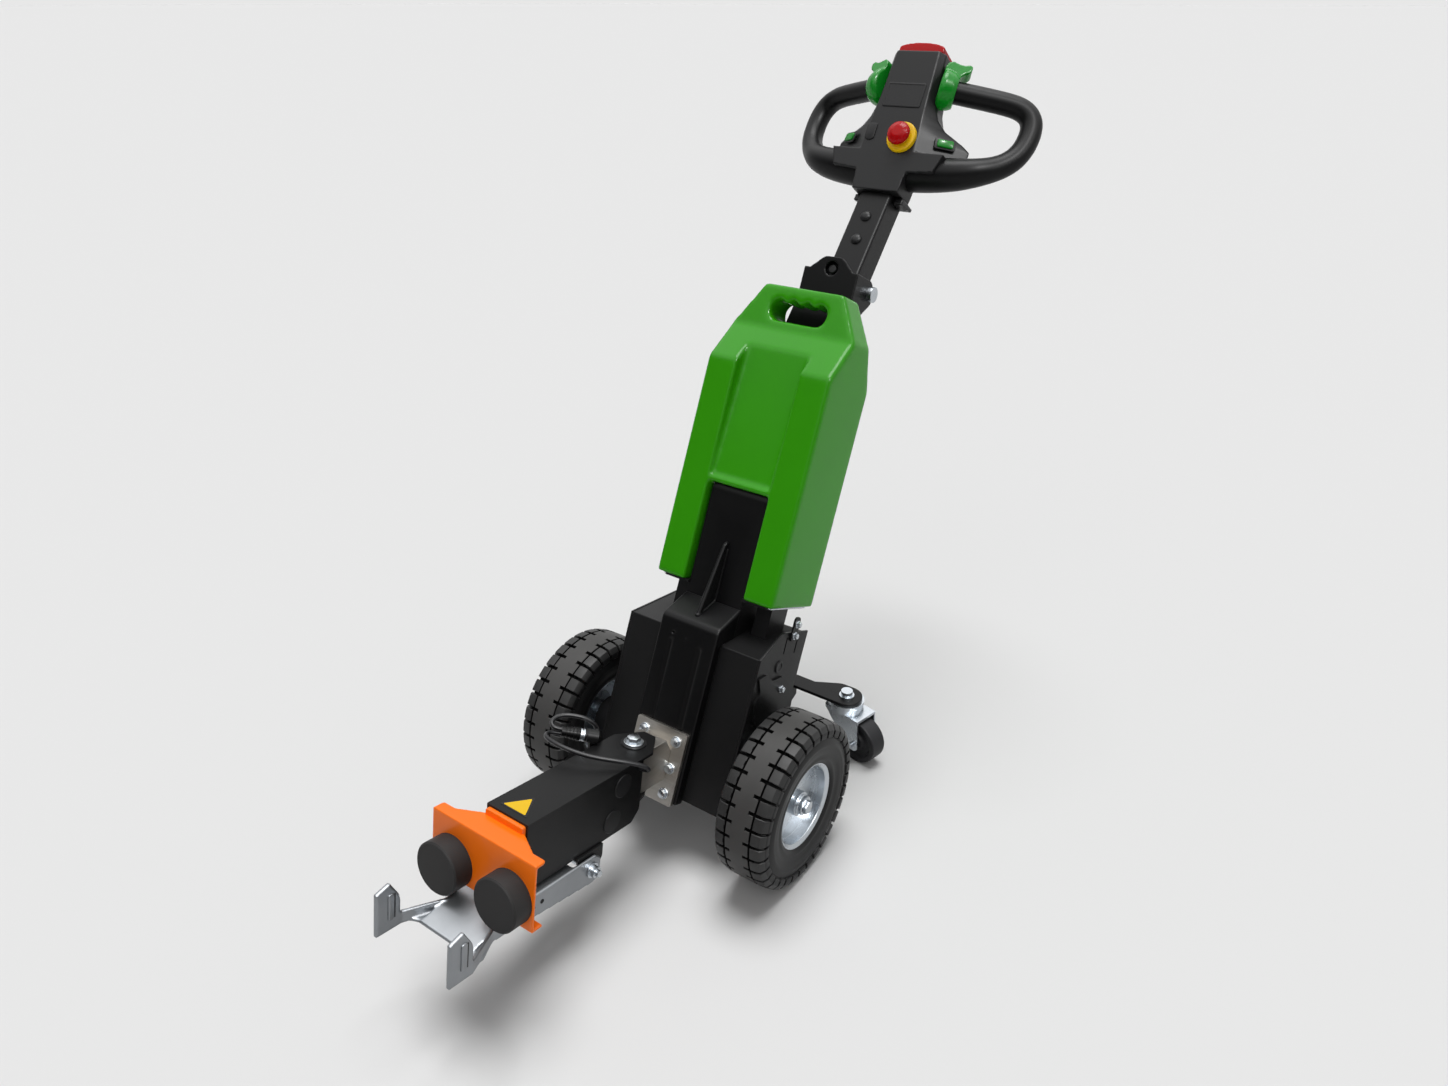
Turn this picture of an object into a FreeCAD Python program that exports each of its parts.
"""Electric tow tug, a walk-behind tug that pushes and pulls wheeled loads.

The chassis, mast and battery lean back over two driven tyres and two swivel
casters.  A swinging boom reaches forward and carries the buffers and a hook
that is raised under the load.  A tiller head on a tilting column steers it.

Frame: X to the right, Y to the rear, Z up, millimetres.  The origin lies on
the floor under the middle of the machine's footprint.

Each leaning group is drawn in a frame of its own, in which -Y is the side
that faces forward (called "front" here) and Z runs up along the group.
"""
import FreeCAD, Part
import math
import os
import Sketcher
from FreeCAD import Placement, Rotation, Vector

# --------------------------------------------------------------------------
# Driving sizes.  alias, value in mm or degrees, meaning
# --------------------------------------------------------------------------
SIZES = (
    ("axle_forward", 80.17, "drive axle, forward of the middle of the footprint"),
    ("lean_angle", 24.5, "chassis and battery, back from upright"),
    ("boom_angle", 11.0, "boom, up from level"),
    ("column_angle", 42.0, "tiller column, back from upright"),
    ("head_angle", 32.0, "tiller head, back from upright"),
    ("running_gap", 0.05, "radial clearance of a turning fit"),
    ("seat_gap", 0.3, "clearance of a part that only rests in its seat"),
    # drive wheels
    ("wheel_radius", 130.0, "drive tyre, to the tread"),
    ("tyre_width", 85.0, "drive tyre, across the sidewalls"),
    ("wheel_track", 377.0, "between the drive wheels' middle planes"),
    ("tread_half", 38.0, "drive tyre, half width of the tread"),
    ("bead_radius", 64.0, "drive tyre, seat on the rim"),
    ("rim_half", 36.0, "rim, half width over its flanges"),
    ("rim_flange", 67.5, "rim, radius of its flanges"),
    ("rim_wall", 3.5, "rim, sheet thickness"),
    ("rim_dish", 12.0, "rim, disc outboard of the wheel's middle"),
    ("shaft_radius", 10.0, "wheel shaft"),
    ("hub_radius", 19.0, "rim, hub tube"),
    ("hub_outer", 27.0, "rim, hub tube end outboard of the wheel's middle"),
    ("hub_inner", 22.0, "rim, hub tube end inboard of the wheel's middle"),
    # chassis
    ("housing_half", 118.0, "motor housing, half width"),
    ("housing_front", 110.0, "motor housing, front face ahead of the lean line"),
    ("housing_back", 18.0, "motor housing, rear face behind the lean line"),
    ("housing_low_front", 65.0, "motor housing, front lower edge up the lean"),
    ("housing_low_back", 119.0, "motor housing, rear lower edge up the lean"),
    ("roof_front", 312.0, "motor housing, front roof edge up the lean"),
    ("roof_back", 349.0, "motor housing, rear roof edge up the lean"),
    ("side_sheet", 4.0, "side plates, thickness"),
    ("side_top", 352.0, "side plates, top edge up the lean"),
    ("side_top_front", 58.0, "side plates, front end of the top edge"),
    ("slit_width", 3.0, "right side plate, width of its two slits"),
    ("slit_low", 318.0, "right side plate, lower end of its slits"),
    ("strap_sheet", 3.0, "latch strap and brake plate, thickness"),
    ("strap_half", 8.0, "latch strap, half width"),
    ("strap_top", 376.0, "latch strap, upper end up the lean"),
    # spine, mast and gusset
    ("spine_front", 128.0, "spine, front face ahead of the lean line"),
    ("spine_half", 52.0, "spine, half width"),
    ("spine_bottom", 60.0, "spine, lower end up the lean"),
    ("spine_bend", 334.0, "spine, bend where it turns back to the mast"),
    ("spine_top", 366.0, "spine, where it meets the mast"),
    ("sheet", 4.0, "folded steel sheet"),
    ("groove_side", 26.5, "spine, its pressed grooves, distance from the middle"),
    ("groove_half", 4.0, "spine, half width of its grooves"),
    ("groove_deep", 2.2, "spine, depth of its grooves"),
    ("groove_top", 300.0, "spine, upper end of its grooves"),
    ("mast_front", 78.0, "mast, front face of the lower part"),
    ("mast_half", 50.0, "mast, half width"),
    ("mast_depth", 68.0, "mast, depth of the channel"),
    ("mast_crank", 535.0, "mast, where it cranks back, up the lean"),
    ("mast_top", 838.0, "mast, upper end up the lean"),
    ("mast_set_back", 104.0, "mast, how far the crank sets the top back"),
    ("gusset_top", 453.5, "gusset, upper end up the lean"),
    ("gusset_reach", 33.0, "gusset, reach ahead of the mast"),
    ("gusset_sheet", 5.0, "gusset, thickness"),
    # coupling bracket of the boom
    ("plate_half", 46.9, "mounting plate, half width"),
    ("plate_bottom", 57.0, "mounting plate, lower edge up the lean"),
    ("plate_top", 171.5, "mounting plate, upper edge up the lean"),
    ("plate_sheet", 6.0, "mounting plate, thickness"),
    ("pivot_front", 159.0, "boom pivot, ahead in the boom's frame"),
    ("pivot_radius", 8.0, "boom pivot bolt"),
    ("knuckle_half", 25.0, "knuckle, half width"),
    ("knuckle_low", 122.0, "knuckle, underside"),
    ("knuckle_back", 112.0, "knuckle, rear edge of its top"),
    # boom
    ("boom_top", 193.7, "boom, top face"),
    ("boom_low", 94.0, "boom, underside"),
    ("boom_half", 36.4, "boom, half width"),
    ("boom_front", 409.4, "boom, front face"),
    ("boom_rear", 180.0, "boom, rear edge of its side walls"),
    ("tongue_rear", 121.0, "boom tongue, rear edge"),
    ("tongue_half", 11.0, "boom tongue, half width of its rear edge"),
    # buffers and their plate
    ("bumper_ahead", 40.6, "buffer plate, front face ahead of the boom"),
    ("bumper_half", 91.0, "buffer plate, half width"),
    ("bumper_low", 85.0, "buffer plate, lower edge"),
    ("bumper_top", 178.0, "buffer plate, top edge"),
    ("bumper_flange", 18.0, "buffer plate, depth of its flanges at the ends"),
    ("bumper_neck", 30.5, "buffer plate, half width of the neck"),
    ("foot_inner", 60.0, "buffer plate, inner end of each foot"),
    ("buffer_radius", 36.5, "rubber buffer, radius"),
    ("buffer_long", 28.0, "rubber buffer, length"),
    ("buffer_side", 52.0, "rubber buffer, distance from the middle"),
    ("buffer_height", 121.0, "rubber buffer, height in the boom's frame"),
    # hook
    ("hook_pivot_front", 287.0, "hook pivot, ahead in the boom's frame"),
    ("hook_pivot_up", 67.0, "hook pivot, height in the boom's frame"),
    ("hook_half", 45.0, "hook lever, half width"),
    ("hook_sheet", 5.0, "hook lever, thickness"),
    ("hook_back", 17.0, "hook lever, reach behind its pivot"),
    ("hook_flare", 183.0, "hook lever, where the flanges start to flare"),
    ("hook_web_end", 220.0, "hook lever, front edge of its web"),
    ("hook_wide", 65.0, "hook prongs, distance of their middle from the centre"),
    ("prong_front", 272.5, "hook prongs, front edge ahead of the pivot"),
    ("prong_deep", 37.0, "hook prongs, front to back"),
    ("prong_thick", 6.5, "hook prongs, thickness"),
    ("prong_top", 60.5, "hook prongs, tip above the pivot"),
    ("prong_low", -8.0, "hook prongs, lower edge from the pivot"),
    # lead and its plug beside the boom
    ("lead_radius", 3.25, "lead, radius"),
    ("plug_radius", 10.5, "plug, radius of its body"),
    ("plug_long", 20.0, "plug, length of its body"),
    ("nut_radius", 11.8, "plug, radius over its nut's corners"),
    ("nut_long", 8.0, "plug, length of its nut"),
    ("boot_long", 26.0, "plug, length of its boot"),
    ("boot_tip", 7.2, "plug, radius of the boot's tip"),
    # casters
    ("caster_side", 126.0, "caster swivel axis, from the middle"),
    ("caster_behind", 299.0, "caster swivel axis, behind the drive axle"),
    ("caster_turn", 12.0, "casters, turned from straight outboard as parked"),
    ("caster_trail", 38.0, "caster wheel, distance from the swivel axis"),
    ("caster_radius", 40.0, "caster wheel, radius"),
    ("caster_width", 32.0, "caster wheel, width"),
    ("beam_low", 105.0, "caster beam, underside of its plate"),
    ("beam_sheet", 6.0, "caster beam, plate thickness"),
    ("beam_waist", 4.0, "caster beam, rear edge of its middle behind the swivel axes"),
    ("beam_end", 27.0, "caster beam, radius of its ends"),
    ("rail_half", 34.0, "caster beam, half width of the middle rail"),
    ("rail_deep", 34.0, "caster beam, depth of the middle rail"),
    ("race_radius", 31.0, "caster ball race, radius"),
    # battery cassette
    ("pack_front", 90.0, "battery cassette, front face"),
    ("pack_back", 42.0, "battery cassette, rear face behind the lean line"),
    ("pack_half", 107.5, "battery cassette, half width"),
    ("pack_bottom", 384.0, "battery cassette, lower end up the lean"),
    ("pack_shoulder", 728.5, "battery cassette, top of the front face"),
    ("pack_break", 787.0, "battery cassette, foot of the handle part"),
    ("pack_break_front", 47.0, "battery cassette, front at the break"),
    ("pack_top", 855.0, "battery cassette, top edge"),
    ("pack_top_front", 41.0, "battery cassette, front at the top edge"),
    ("pack_top_half", 67.5, "battery cassette, half width of the top edge"),
    ("pack_handle_back", 12.0, "battery cassette, rear of the handle part"),
    ("channel_half", 55.0, "battery cassette, half width of the mast channel"),
    ("lip_height", 541.0, "battery cassette, lower lip of the web"),
    ("lip_front", 84.0, "battery cassette, front of the lip"),
    ("floor_front", 68.6, "battery cassette, recess floor at its top"),
    ("mast_clearance", 4.0, "battery cassette, clear of the mast"),
    ("slot_height", 818.0, "battery handle slot, middle up the lean"),
    ("slot_long", 98.0, "battery handle slot, length"),
    ("slot_high", 34.0, "battery handle slot, height"),
    # tiller
    ("bracket_half", 48.0, "top bracket, half width"),
    ("bracket_rise", 20.0, "top bracket, shoulders above the tilt bolt"),
    ("bracket_round", 15.0, "top bracket, rounding round the tilt bolt"),
    ("tilt_setback", 52.0, "tilt bolt, behind the mast's front"),
    ("tilt_rise", 42.0, "tilt bolt, above the mast"),
    ("plunger_radius", 11.0, "lock plunger, radius of its hole in the bracket"),
    ("tilt_radius", 8.0, "tilt bolt, radius"),
    ("column_half", 27.4, "column, half width"),
    ("column_deep", 50.0, "column, front to back"),
    ("column_wall", 3.0, "column, wall"),
    ("column_front", 22.0, "column, front face ahead of the tilt bolt"),
    ("column_below", 34.0, "column, reach below the tilt bolt"),
    ("column_above", 164.0, "head's lower front edge, above the tilt bolt"),
    ("head_offset", 9.7, "tiller head, front face ahead of the column"),
    ("head_deep", 52.0, "tiller head, front to back"),
    ("head_long", 232.0, "tiller head, length"),
    ("head_half", 41.0, "tiller head, half width of the lower end"),
    ("head_top_half", 36.0, "tiller head, half width of the upper end"),
    ("arm_top", 66.0, "tiller head, top of the arms"),
    ("arm_half", 88.0, "tiller head, half width over the arms"),
    ("shoulder_half", 116.0, "tiller head, half width over the shoulders"),
    ("shoulder_slope", 35.0, "tiller head, shoulders swept back"),
    ("crease_half", 46.0, "tiller head, half width of the flat front"),
    ("grip_radius", 17.2, "handle loops, tube radius"),
    ("grip_root_radius", 25.0, "handle loops, radius at the lower root"),
    ("grip_root_long", 106.0, "handle loops, length of the thick lower root"),
    ("grip_root_sweep", 3.8, "handle loops, lower root swept back"),
    ("grip_root_rise", 10.0, "handle loops, lower root rising outboard"),
    ("grip_root_side", 42.0, "handle loops, inner end of the lower root"),
    ("grip_root_back", 37.0, "handle loops, inner end behind the head's face"),
    ("grip_root_up", 38.0, "handle loops, inner end up the head"),
    ("grip_sweep", 24.2, "handle loops, swept back"),
    ("grip_tip", 8.3, "handle loops, tipped back"),
    ("grip_ahead", 28.6, "handle loops, middle plane ahead of the head"),
    ("grip_below_top", 50.0, "handle loops, upper run below the head's top"),
    ("grip_reach", 219.0, "handle loops, outermost point of the tube's middle"),
    ("grip_start", 90.0, "handle loops, start of the upper run"),
    ("clamp_wall", 16.0, "clamp under the head, thickness of its sides"),
    ("hub_long", 16.0, "thumb lever hub, length"),
)


class Size:
    """A number that keeps the spreadsheet expression it comes from."""

    def __init__(self, value, text):
        self.value = float(value)
        self.text = text

    def __add__(self, other):
        other = as_size(other)
        return Size(self.value + other.value, f"({self.text} + {other.text})")

    def __radd__(self, other):
        return as_size(other) + self

    def __sub__(self, other):
        other = as_size(other)
        return Size(self.value - other.value, f"({self.text} - {other.text})")

    def __rsub__(self, other):
        return as_size(other) - self

    def __mul__(self, other):
        other = as_size(other)
        return Size(self.value * other.value, f"({self.text} * {other.text})")

    def __rmul__(self, other):
        return as_size(other) * self

    def __truediv__(self, other):
        other = as_size(other)
        return Size(self.value / other.value, f"({self.text} / {other.text})")

    def __neg__(self):
        return Size(-self.value, f"(0 - {self.text})")


def as_size(number):
    """A Size for a plain number, or the Size itself."""
    return number if isinstance(number, Size) else Size(number, f"{float(number)}")


def sine(angle):
    return Size(math.sin(math.radians(angle.value)), f"sin({angle.text} * 1 deg)")


def cosine(angle):
    return Size(math.cos(math.radians(angle.value)), f"cos({angle.text} * 1 deg)")


def tangent(angle):
    return Size(math.tan(math.radians(angle.value)), f"tan({angle.text} * 1 deg)")


# --------------------------------------------------------------------------
# The document and its sheet of sizes
# --------------------------------------------------------------------------
doc = FreeCAD.newDocument("tow_tug")
sheet = doc.addObject("Spreadsheet::Sheet", "sizes")
for row, (alias, value, meaning) in enumerate(SIZES, start=1):
    sheet.set(f"A{row}", meaning)
    sheet.set(f"B{row}", str(value))
    sheet.setAlias(f"B{row}", alias)
doc.recompute()


def size(alias):
    """The named size, with its number and its expression."""
    return Size(sheet.get(alias), f"sizes.{alias}")


# --------------------------------------------------------------------------
# Helpers: sketches, features and places
# --------------------------------------------------------------------------
def bind(thing, prop, amount):
    """Give a property its number, tied to the sheet."""
    amount = as_size(amount)
    thing.setExpression(prop, amount.text)


def new_body(name):
    """An empty PartDesign body whose label is the sub-part's name."""
    body = doc.addObject("PartDesign::Body", name)
    body.Label = name
    return body


def sketch_on(body, plane, shift=0):
    """A sketch on one of the body's own planes, moved along its normal.

    YZ looks along +X, XY looks along +Z, and XZ looks along -Y, which is the
    front of every frame used here.
    """
    sketch = body.newObject("Sketcher::SketchObject", f"{body.Name}_sketch")
    support = [item for item in body.Origin.OriginFeatures if item.Role == f"{plane}_Plane"][0]
    sketch.AttachmentSupport = [(support, "")]
    sketch.MapMode = "FlatFace"
    bind(sketch, "AttachmentOffset.Base.z", shift)
    return sketch


def fix_point(sketch, geometry, vertex, x, y):
    """Place one sketch point by two dimensions from the sketch's origin."""
    for kind, amount in (("DistanceX", x), ("DistanceY", y)):
        amount = as_size(amount)
        index = sketch.addConstraint(Sketcher.Constraint(kind, -1, 1, geometry, vertex, amount.value))
        sketch.setExpression(f"Constraints[{index}]", amount.text)


def rounding(before, corner, after, radius):
    """Centre, touching points and angles of the arc that rounds a corner."""
    to_before = (before - corner).normalize()
    to_after = (after - corner).normalize()
    half_angle = to_before.getAngle(to_after) / 2
    reach = radius / math.tan(half_angle)
    first = corner + to_before * reach
    last = corner + to_after * reach
    middle = (to_before + to_after).normalize()
    centre = corner + middle * (radius / math.sin(half_angle))
    turns_left = (corner - before).cross(after - corner).z > 0
    return first, last, centre, turns_left


def trace(sketch, corners, radii=None, closed=True):
    """Straight lines through the corners; radii rounds corners by index."""
    radii = radii or {}
    spots = [Vector(as_size(x).value, as_size(y).value, 0) for x, y in corners]
    count = len(spots)
    arcs = {}
    for index, radius in radii.items():
        index = index % count
        arcs[index] = rounding(spots[index - 1], spots[index], spots[(index + 1) % count],
                               as_size(radius).value)
    legs = count if closed else count - 1
    lines = []
    for index in range(legs):
        following = (index + 1) % count
        begin = arcs[index][1] if index in arcs else spots[index]
        end = arcs[following][0] if following in arcs else spots[following]
        lines.append(sketch.addGeometry(Part.LineSegment(begin, end)))
    for index, (x, y) in enumerate(corners):
        incoming = lines[index - 1] if closed or index else None
        outgoing = lines[index] if index < legs else None
        if index in arcs:
            first, last, centre, turns_left = arcs[index]
            radius = as_size({key % count: amount for key, amount in radii.items()}[index])
            ends = (first, last) if turns_left else (last, first)
            angles = [math.atan2(end.y - centre.y, end.x - centre.x) for end in ends]
            circle = Part.Circle(centre, Vector(0, 0, 1), radius.value)
            arc = sketch.addGeometry(Part.ArcOfCircle(circle, angles[0], angles[1]))
            start, stop = (1, 2) if turns_left else (2, 1)
            sketch.addConstraint(Sketcher.Constraint("Tangent", incoming, 2, arc, start))
            sketch.addConstraint(Sketcher.Constraint("Tangent", arc, stop, outgoing, 1))
            number = sketch.addConstraint(Sketcher.Constraint("Radius", arc, radius.value))
            sketch.setExpression(f"Constraints[{number}]", radius.text)
            corner = sketch.addGeometry(Part.Point(spots[index]), True)
            fix_point(sketch, corner, 1, x, y)
            sketch.addConstraint(Sketcher.Constraint("PointOnObject", corner, 1, incoming))
            sketch.addConstraint(Sketcher.Constraint("PointOnObject", corner, 1, outgoing))
        elif outgoing is None:
            fix_point(sketch, incoming, 2, x, y)
        else:
            fix_point(sketch, outgoing, 1, x, y)
            if incoming is not None:
                sketch.addConstraint(Sketcher.Constraint("Coincident", incoming, 2, outgoing, 1))


def trace_circle(sketch, x, y, radius):
    radius = as_size(radius)
    centre = Vector(as_size(x).value, as_size(y).value, 0)
    circle = sketch.addGeometry(Part.Circle(centre, Vector(0, 0, 1), radius.value))
    fix_point(sketch, circle, 3, x, y)
    index = sketch.addConstraint(Sketcher.Constraint("Radius", circle, radius.value))
    sketch.setExpression(f"Constraints[{index}]", radius.text)


def pad(body, sketch, length, symmetric=False, reverse=False):
    feature = body.newObject("PartDesign::Pad", f"{body.Name}_pad")
    feature.Profile = sketch
    feature.SideType = "Symmetric" if symmetric else "One side"
    feature.Reversed = reverse
    bind(feature, "Length", length)
    return feature


def pocket(body, sketch, length, symmetric=False, reverse=False):
    """A cut that has to take material away from the body."""
    doc.recompute()
    before = body.Shape.Volume
    feature = body.newObject("PartDesign::Pocket", f"{body.Name}_pocket")
    feature.Profile = sketch
    feature.SideType = "Symmetric" if symmetric else "One side"
    feature.Reversed = reverse
    bind(feature, "Length", length)
    doc.recompute()
    if not feature.Shape.Volume < before - 1e-3:
        raise RuntimeError(f"{feature.Name} cuts nothing")
    return feature


def revolve(body, sketch, angle=360):
    """Turn a profile about the sketch's horizontal axis."""
    feature = body.newObject("PartDesign::Revolution", f"{body.Name}_revolution")
    feature.Profile = sketch
    feature.ReferenceAxis = (sketch, ["H_Axis"])
    bind(feature, "Angle", angle)
    return feature


def edge_direction(edge):
    """Unit vector between an edge's ends, or None for a closed edge."""
    run = edge.Vertexes[-1].Point - edge.Vertexes[0].Point
    return None if run.Length < 1e-6 else run.normalize()


def round_edges(body, radius, chosen, kind="Fillet"):
    """Fillet or chamfer the edges of the body that the chosen test picks."""
    doc.recompute()
    tip = body.Tip
    names = [f"Edge{number}" for number, edge in enumerate(tip.Shape.Edges, start=1) if chosen(edge)]
    if not names:
        raise RuntimeError(f"{body.Name} has no edge to finish")
    feature = body.newObject(f"PartDesign::{kind}", f"{body.Name}_{kind.lower()}")
    feature.Base = (tip, names)
    bind(feature, "Radius" if kind == "Fillet" else "Size", radius)
    return feature


def along(axis):
    """A test for straight edges parallel to an axis."""
    axis = Vector(axis)

    def test(edge):
        direction = edge_direction(edge)
        straight = edge.Curve.TypeId == "Part::GeomLine"
        return straight and direction is not None and abs(direction.dot(axis)) > 0.999
    return test


def side(points):
    """Side-view points (front, up) as sketch coordinates on the YZ plane."""
    return [(-as_size(front), up) for front, up in points]


def mirrored(points):
    """The points of a right half, followed by their mirror on the left."""
    return list(points) + [(-as_size(x), y) for x, y in reversed(points)]


# Frames of the leaning groups, as placements in the machine's frame
axle_forward = size("axle_forward")
AXLE = Placement(Vector(0, -axle_forward.value, 0), Rotation())


def leaning(angle):
    """A frame that leans back over the point under the drive axle."""
    return AXLE * Placement(Vector(), Rotation(Vector(1, 0, 0), -angle.value))


LEAN = leaning(size("lean_angle"))
BOOM = leaning(size("boom_angle"))
PARTS = []


def hand_in(thing, place=None):
    """Put a finished sub-part in its place and on the list to write."""
    if place is not None:
        thing.Placement = place
    PARTS.append(thing)
    return thing


def shifted(frame, x=0, y=0, z=0):
    """A frame moved along its own axes."""
    return frame * Placement(Vector(as_size(x).value, as_size(y).value, as_size(z).value), Rotation())


# --------------------------------------------------------------------------
# Chassis: motor housing and side plates
# --------------------------------------------------------------------------
housing_half = size("housing_half")
housing_front = size("housing_front")
housing_back = size("housing_back")
housing_low_front = size("housing_low_front")
housing_low_back = size("housing_low_back")
roof_front = size("roof_front")
roof_back = size("roof_back")
side_sheet = size("side_sheet")


def roof_height(front):
    """Height of the housing's roof at a distance ahead of the lean line."""
    slope = (roof_back - roof_front) / (housing_front + housing_back)
    return roof_front + (housing_front - front) * slope


def make_housing():
    body = new_body("chassis_housing")
    sketch = sketch_on(body, "YZ")
    trace(sketch, side([(housing_front, housing_low_front), (housing_front, roof_front),
                        (-housing_back, roof_back), (-housing_back, housing_low_back)]))
    pad(body, sketch, 2 * housing_half, symmetric=True)
    hand_in(body, LEAN)


def make_side_plate(name, hand, top_edge):
    """Sheet beside the housing, with the given points along its top edge."""
    body = new_body(name)
    sketch = sketch_on(body, "YZ")
    corners = [(housing_front, housing_low_front), (housing_front, roof_front)] + top_edge
    trace(sketch, side(corners + [(-housing_back, housing_low_back)]))
    pad(body, sketch, side_sheet)
    start = housing_half if hand > 0 else -(housing_half + side_sheet)
    if hand > 0:
        width = size("slit_width")
        for front, high in ((47, side_top - 8), (13, side_top - 6)):
            slit = sketch_on(body, "YZ", -1)
            trace(slit, side([(front, size("slit_low")), (front, high), (front - width, high),
                              (front - width, size("slit_low"))]))
            pocket(body, slit, side_sheet + 2, reverse=True)
    hand_in(body, shifted(LEAN, x=start))


def make_latch_strap():
    """Strap bolted to the right side plate, which reaches up to the battery's foot."""
    body = new_body("latch_strap")
    half = size("strap_half")
    middle = 30.5
    sketch = sketch_on(body, "YZ", housing_half + side_sheet)
    trace(sketch, side([(middle + half, side_top - 14), (middle + half, size("strap_top")),
                        (middle - half, size("strap_top")), (middle - half, side_top - 14)]),
          {0: 6, 1: 6, 2: 6, 3: 6})
    pad(body, sketch, size("strap_sheet"))
    hand_in(body, LEAN)


def make_brake_plate():
    """Curved plate with the brake release lever's tip, on the right side plate."""
    body = new_body("brake_plate")
    sketch = sketch_on(body, "YZ", housing_half + side_sheet)
    trace(sketch, side([(106, 284), (86, 289), (62, 278), (34, 283), (6, 272), (-14, 254), (-20, 228),
                        (-6, 204), (44, 198), (92, 212), (101, 244), (92, 262)]),
          {0: 3, 1: 6, 2: 16, 3: 18, 4: 14, 5: 16, 6: 16, 7: 14, 8: 20, 9: 20, 10: 14, 11: 6})
    pad(body, sketch, size("strap_sheet"))
    hand_in(body, LEAN)


# --------------------------------------------------------------------------
# Spine, mast and gusset
# --------------------------------------------------------------------------
spine_front = size("spine_front")
spine_bend = size("spine_bend")
spine_top = size("spine_top")
sheet_thick = size("sheet")
mast_front = size("mast_front")
mast_half = size("mast_half")
mast_crank = size("mast_crank")
mast_top = size("mast_top")
mast_set_back = size("mast_set_back")


def make_spine():
    body = new_body("spine")
    bottom = size("spine_bottom")
    half = size("spine_half")
    slope = (spine_top - spine_bend) / (spine_front - mast_front)
    outline = sketch_on(body, "YZ")
    trace(outline, side([(spine_front, bottom), (spine_front, spine_bend), (mast_front, spine_top),
                         (mast_front, roof_height(mast_front)), (housing_front, roof_front),
                         (housing_front, bottom)]), {1: 14})
    pad(body, outline, 2 * half, symmetric=True)
    hollow = sketch_on(body, "YZ")
    inner_front = spine_front - sheet_thick
    inner_bend = spine_bend - sheet_thick * slope
    trace(hollow, side([(inner_front, bottom - 1), (inner_front, inner_bend),
                        (mast_front - 1, inner_bend + (inner_front - mast_front + 1) * slope),
                        (mast_front - 1, bottom - 1)]), {1: 10})
    pocket(body, hollow, 2 * (half - sheet_thick), symmetric=True)
    groove_half = size("groove_half")
    for hand in (-1, 1):
        middle = hand * size("groove_side")
        groove = sketch_on(body, "XZ", spine_front)
        trace(groove, [(middle - groove_half, bottom - 1), (middle + groove_half, bottom - 1),
                       (middle + groove_half, size("groove_top")), (middle - groove_half, size("groove_top"))],
              {2: groove_half - 0.2, 3: groove_half - 0.2})
        pocket(body, groove, size("groove_deep"))
    holes = sketch_on(body, "XZ", spine_front)
    trace_circle(holes, -size("groove_side") + 1.5, size("groove_top") + 9, 2.2)
    trace_circle(holes, -1, size("groove_top") + 5, 2.2)
    pocket(body, holes, sheet_thick)
    hand_in(body, LEAN)


def mast_lean():
    """Set-back of the upper mast for each unit up the lean."""
    return mast_set_back / (mast_top - mast_crank)


def make_mast():
    body = new_body("mast")
    depth = size("mast_depth")
    top_front = mast_front - mast_set_back
    outline = sketch_on(body, "YZ")
    trace(outline, side([(mast_front, roof_height(mast_front)), (mast_front, mast_crank),
                         (top_front, mast_top), (top_front - depth * 0.65, mast_top),
                         (mast_front - depth, mast_crank - 14), (mast_front - depth,
                         roof_height(mast_front - depth))]), {1: 30, 4: 30})
    pad(body, outline, 2 * mast_half, symmetric=True)
    hollow = sketch_on(body, "YZ")
    inner = mast_front - sheet_thick
    trace(hollow, side([(inner, roof_height(mast_front) - 30), (inner, mast_crank),
                        (inner - mast_set_back, mast_top), (inner - mast_set_back - mast_lean(), mast_top + 1),
                        (-150, mast_top + 1), (-150, roof_height(mast_front) - 30)]), {1: 26})
    pocket(body, hollow, 2 * (mast_half - sheet_thick), symmetric=True)
    gusset = sketch_on(body, "YZ")
    reach = size("gusset_reach")
    foot_front = mast_front + reach
    slope = (spine_top - spine_bend) / (spine_front - mast_front)
    trace(gusset, side([(mast_front - 1, spine_top), (mast_front - 1, size("gusset_top")),
                        (mast_front + 6, size("gusset_top")), (foot_front, spine_top - reach * slope),
                        (mast_front, spine_top)]))
    pad(body, gusset, size("gusset_sheet"), symmetric=True)
    hand_in(body, LEAN)


# --------------------------------------------------------------------------
# Boom coupling: mounting plate and knuckle
# --------------------------------------------------------------------------
plate_front = spine_front + size("plate_sheet")
pivot_front = size("pivot_front")
boom_top = size("boom_top")
lean_to_boom = size("lean_angle") - size("boom_angle")


def plate_at(up):
    """How far ahead the mounting plate's face lies, in the boom's frame."""
    return (plate_front - up * sine(lean_to_boom)) / cosine(lean_to_boom)


def make_mount_plate():
    body = new_body("mount_plate")
    half = size("plate_half")
    low = size("plate_bottom")
    high = size("plate_top")
    sketch = sketch_on(body, "XZ", spine_front)
    trace(sketch, mirrored([(half, low), (half, high)]), {0: 4, 1: 4, 2: 4, 3: 4})
    pad(body, sketch, size("plate_sheet"))
    hand_in(body, LEAN)


def make_knuckle():
    body = new_body("pivot_knuckle")
    half = size("knuckle_half")
    low = size("knuckle_low")
    high = boom_top - sheet_thick - size("seat_gap")
    sketch = sketch_on(body, "YZ")
    foot = high - 22
    trace(sketch, side([(plate_at(low), low), (pivot_front + half, low), (pivot_front + half, high),
                        (size("knuckle_back"), high), (plate_at(foot), foot)]))
    pad(body, sketch, 2 * half, symmetric=True)
    bore = sketch_on(body, "XY")
    trace_circle(bore, 0, -pivot_front, size("pivot_radius") + size("running_gap"))
    pocket(body, bore, 300, reverse=True)
    round_edges(body, half - 0.5, lambda edge: along((0, 0, 1))(edge) and edge.BoundBox.YMin < -150)
    hand_in(body, BOOM)


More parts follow.
